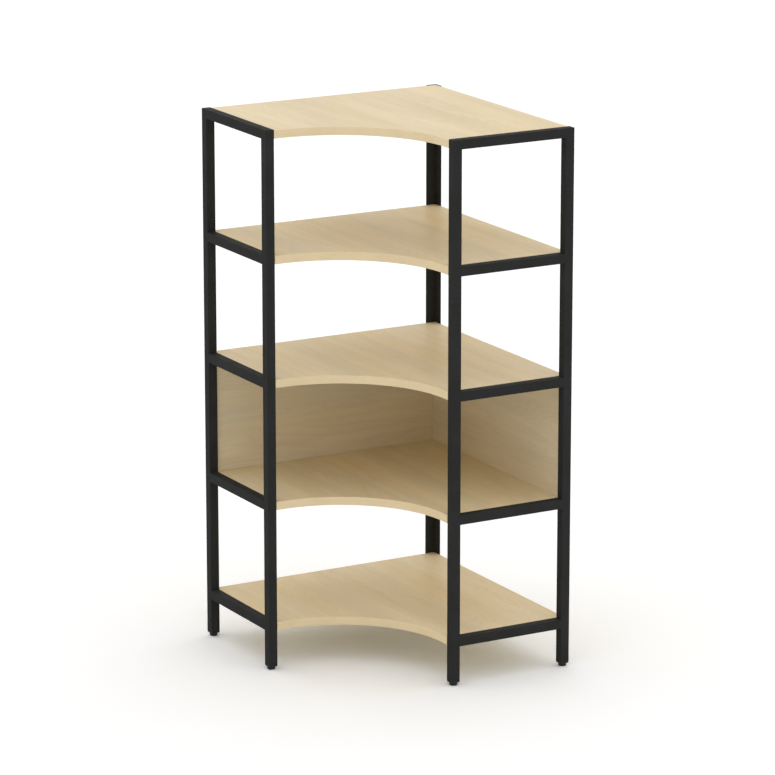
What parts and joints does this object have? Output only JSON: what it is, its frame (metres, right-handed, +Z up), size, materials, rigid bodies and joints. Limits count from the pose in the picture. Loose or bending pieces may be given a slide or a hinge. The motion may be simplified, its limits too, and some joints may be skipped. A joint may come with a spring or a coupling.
{
  "type": "corner shelf unit",
  "caption": "Open corner shelf unit with L-shaped boards, each with a concave rounded front, on black square-tube side frames and a thin angle post in the back corner.",
  "frame": {"origin": "on the floor, at the centre of the square that the unit covers", "axes": "+Z up; +Y towards the back wall and +X towards the right wall of the room's corner, so the open front faces -X -Y"},
  "size_m": [0.8, 0.8, 1.6315],
  "materials": {
    "frame_steel": "satin black powder coat, fine texture",
    "board_wood": "pale maple-pattern melamine on particle board, silk matt",
    "edge_band": "plain pale maple edge band, silk matt",
    "black_plastic": "moulded black polyamide, fine matt grain",
    "screw_steel": "bright zinc plate"
  },
  "bodies": {
    "unit": {"left_frame_front_post": "frame_steel", "left_frame_back_post": "frame_steel", "left_frame_rail_1": "frame_steel", "left_frame_rail_2": "frame_steel", "left_frame_rail_3": "frame_steel", "left_frame_rail_4": "frame_steel", "left_frame_rail_5": "frame_steel", "left_front_tube_insert": "black_plastic", "left_back_tube_insert": "black_plastic", "shelf_1_screw_left_front": "screw_steel", "shelf_1_screw_left_back": "screw_steel", "shelf_2_screw_left_front": "screw_steel", "shelf_2_screw_left_back": "screw_steel", "shelf_3_screw_left_front": "screw_steel", "shelf_3_screw_left_back": "screw_steel", "shelf_4_screw_left_front": "screw_steel", "shelf_4_screw_left_back": "screw_steel", "shelf_5_screw_left_front": "screw_steel", "shelf_5_screw_left_back": "screw_steel", "right_frame_back_post": "frame_steel", "right_frame_front_post": "frame_steel", "right_frame_rail_1": "frame_steel", "right_frame_rail_2": "frame_steel", "right_frame_rail_3": "frame_steel", "right_frame_rail_4": "frame_steel", "right_frame_rail_5": "frame_steel", "right_back_tube_insert": "black_plastic", "right_front_tube_insert": "black_plastic", "shelf_1_screw_right_back": "screw_steel", "shelf_1_screw_right_front": "screw_steel", "shelf_2_screw_right_back": "screw_steel", "shelf_2_screw_right_front": "screw_steel", "shelf_3_screw_right_back": "screw_steel", "shelf_3_screw_right_front": "screw_steel", "shelf_4_screw_right_back": "screw_steel", "shelf_4_screw_right_front": "screw_steel", "shelf_5_screw_right_back": "screw_steel", "shelf_5_screw_right_front": "screw_steel", "corner_post": "frame_steel", "shelf_1": "board_wood", "shelf_1_edge_band": "edge_band", "shelf_1_screw_corner": "screw_steel", "shelf_2": "board_wood", "shelf_2_edge_band": "edge_band", "shelf_2_screw_corner": "screw_steel", "shelf_3": "board_wood", "shelf_3_edge_band": "edge_band", "shelf_4": "board_wood", "shelf_4_edge_band": "edge_band", "shelf_4_screw_corner": "screw_steel", "shelf_5": "board_wood", "shelf_5_edge_band": "edge_band", "shelf_5_screw_corner": "screw_steel", "back_wall_panel": "board_wood", "right_wall_panel": "board_wood"},
    "left_front_foot": {"left_front_levelling_foot": "black_plastic"},
    "left_back_foot": {"left_back_levelling_foot": "black_plastic"},
    "right_front_foot": {"right_front_levelling_foot": "black_plastic"},
    "right_back_foot": {"right_back_levelling_foot": "black_plastic"},
    "corner_foot": {"corner_levelling_foot": "black_plastic"}
  },
  "joints": [
    {"name": "left_front_foot_height", "type": "slide", "parent": "unit", "child": "left_front_foot", "axis": [0, 0, -1], "range_m": [0, 0.01]},
    {"name": "left_back_foot_height", "type": "slide", "parent": "unit", "child": "left_back_foot", "axis": [0, 0, -1], "range_m": [0, 0.01]},
    {"name": "right_front_foot_height", "type": "slide", "parent": "unit", "child": "right_front_foot", "axis": [0, 0, -1], "range_m": [0, 0.01]},
    {"name": "right_back_foot_height", "type": "slide", "parent": "unit", "child": "right_back_foot", "axis": [0, 0, -1], "range_m": [0, 0.01]},
    {"name": "corner_foot_height", "type": "slide", "parent": "unit", "child": "corner_foot", "axis": [0, 0, -1], "range_m": [0, 0.01]}
  ]
}
